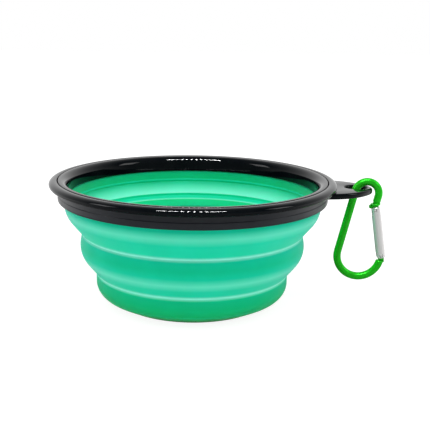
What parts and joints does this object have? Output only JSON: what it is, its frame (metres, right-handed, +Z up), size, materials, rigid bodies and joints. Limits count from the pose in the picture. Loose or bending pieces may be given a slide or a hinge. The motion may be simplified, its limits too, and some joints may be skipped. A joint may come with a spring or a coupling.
{
  "type": "collapsible pet bowl",
  "caption": "Folding silicone travel bowl for pets, with stiff bands between thin folding cones, a clamped black rim with a tab, and a small spring-gate carabiner hung in the tab.",
  "frame": {"origin": "centre of the flat base that the bowl stands on", "axes": "+Z up along the bowl's axis, +X towards the tab and carabiner"},
  "size_m": [0.1543, 0.13, 0.0587],
  "materials": {
    "silicone": "satin silicone",
    "rim_plastic": "gloss black, satin skirt",
    "anodised_green": "satin green anodised",
    "gate_steel": "satin plated",
    "spring_steel": "drawn wire"
  },
  "bodies": {
    "rim": {"rim_outer_ring": "rim_plastic", "rim_top_ring": "rim_plastic", "upper_band": "silicone", "upper_fold": "silicone"},
    "middle": {"middle_band": "silicone", "lower_fold": "silicone"},
    "base": {"base_cup": "silicone"},
    "carabiner": {"carabiner_body": "anodised_green"},
    "gate": {"carabiner_gate": "gate_steel", "gate_hinge_pin": "gate_steel", "gate_latch_pin": "gate_steel", "gate_spring": "spring_steel"},
    "plunger": {"gate_plunger": "spring_steel"}
  },
  "joints": [
    {"name": "upper_fold_collapse", "type": "slide", "parent": "rim", "child": "middle", "axis": [0, 0, 1], "range_m": [0, 0.02], "deforming": ["upper_fold"]},
    {"name": "lower_fold_collapse", "type": "slide", "parent": "middle", "child": "base", "axis": [0, 0, 1], "range_m": [0, 0.0207], "deforming": ["lower_fold"]},
    {"name": "carabiner_swing", "type": "hinge", "parent": "rim", "child": "carabiner", "pos_m": [0.0804, 0, 0.0531], "axis": [0, -1, 0], "range_deg": [-20, 180]},
    {"name": "gate_hinge", "type": "hinge", "parent": "carabiner", "child": "gate", "pos_m": [0.0874, 0, 0.02259], "axis": [0, -1, 0], "range_deg": [0, 21], "stiffness_Nm_per_rad": 0.01, "springref_deg": -45.84},
    {"name": "plunger_slide", "type": "slide", "parent": "gate", "child": "plunger", "axis": [-0.1611, 0, 0.9869], "range_m": [0, 0.0003]}
  ],
  "couplings": [
    {"joint": "plunger_slide", "follows": "gate_hinge", "m_per_rad": 0.00071}
  ]
}
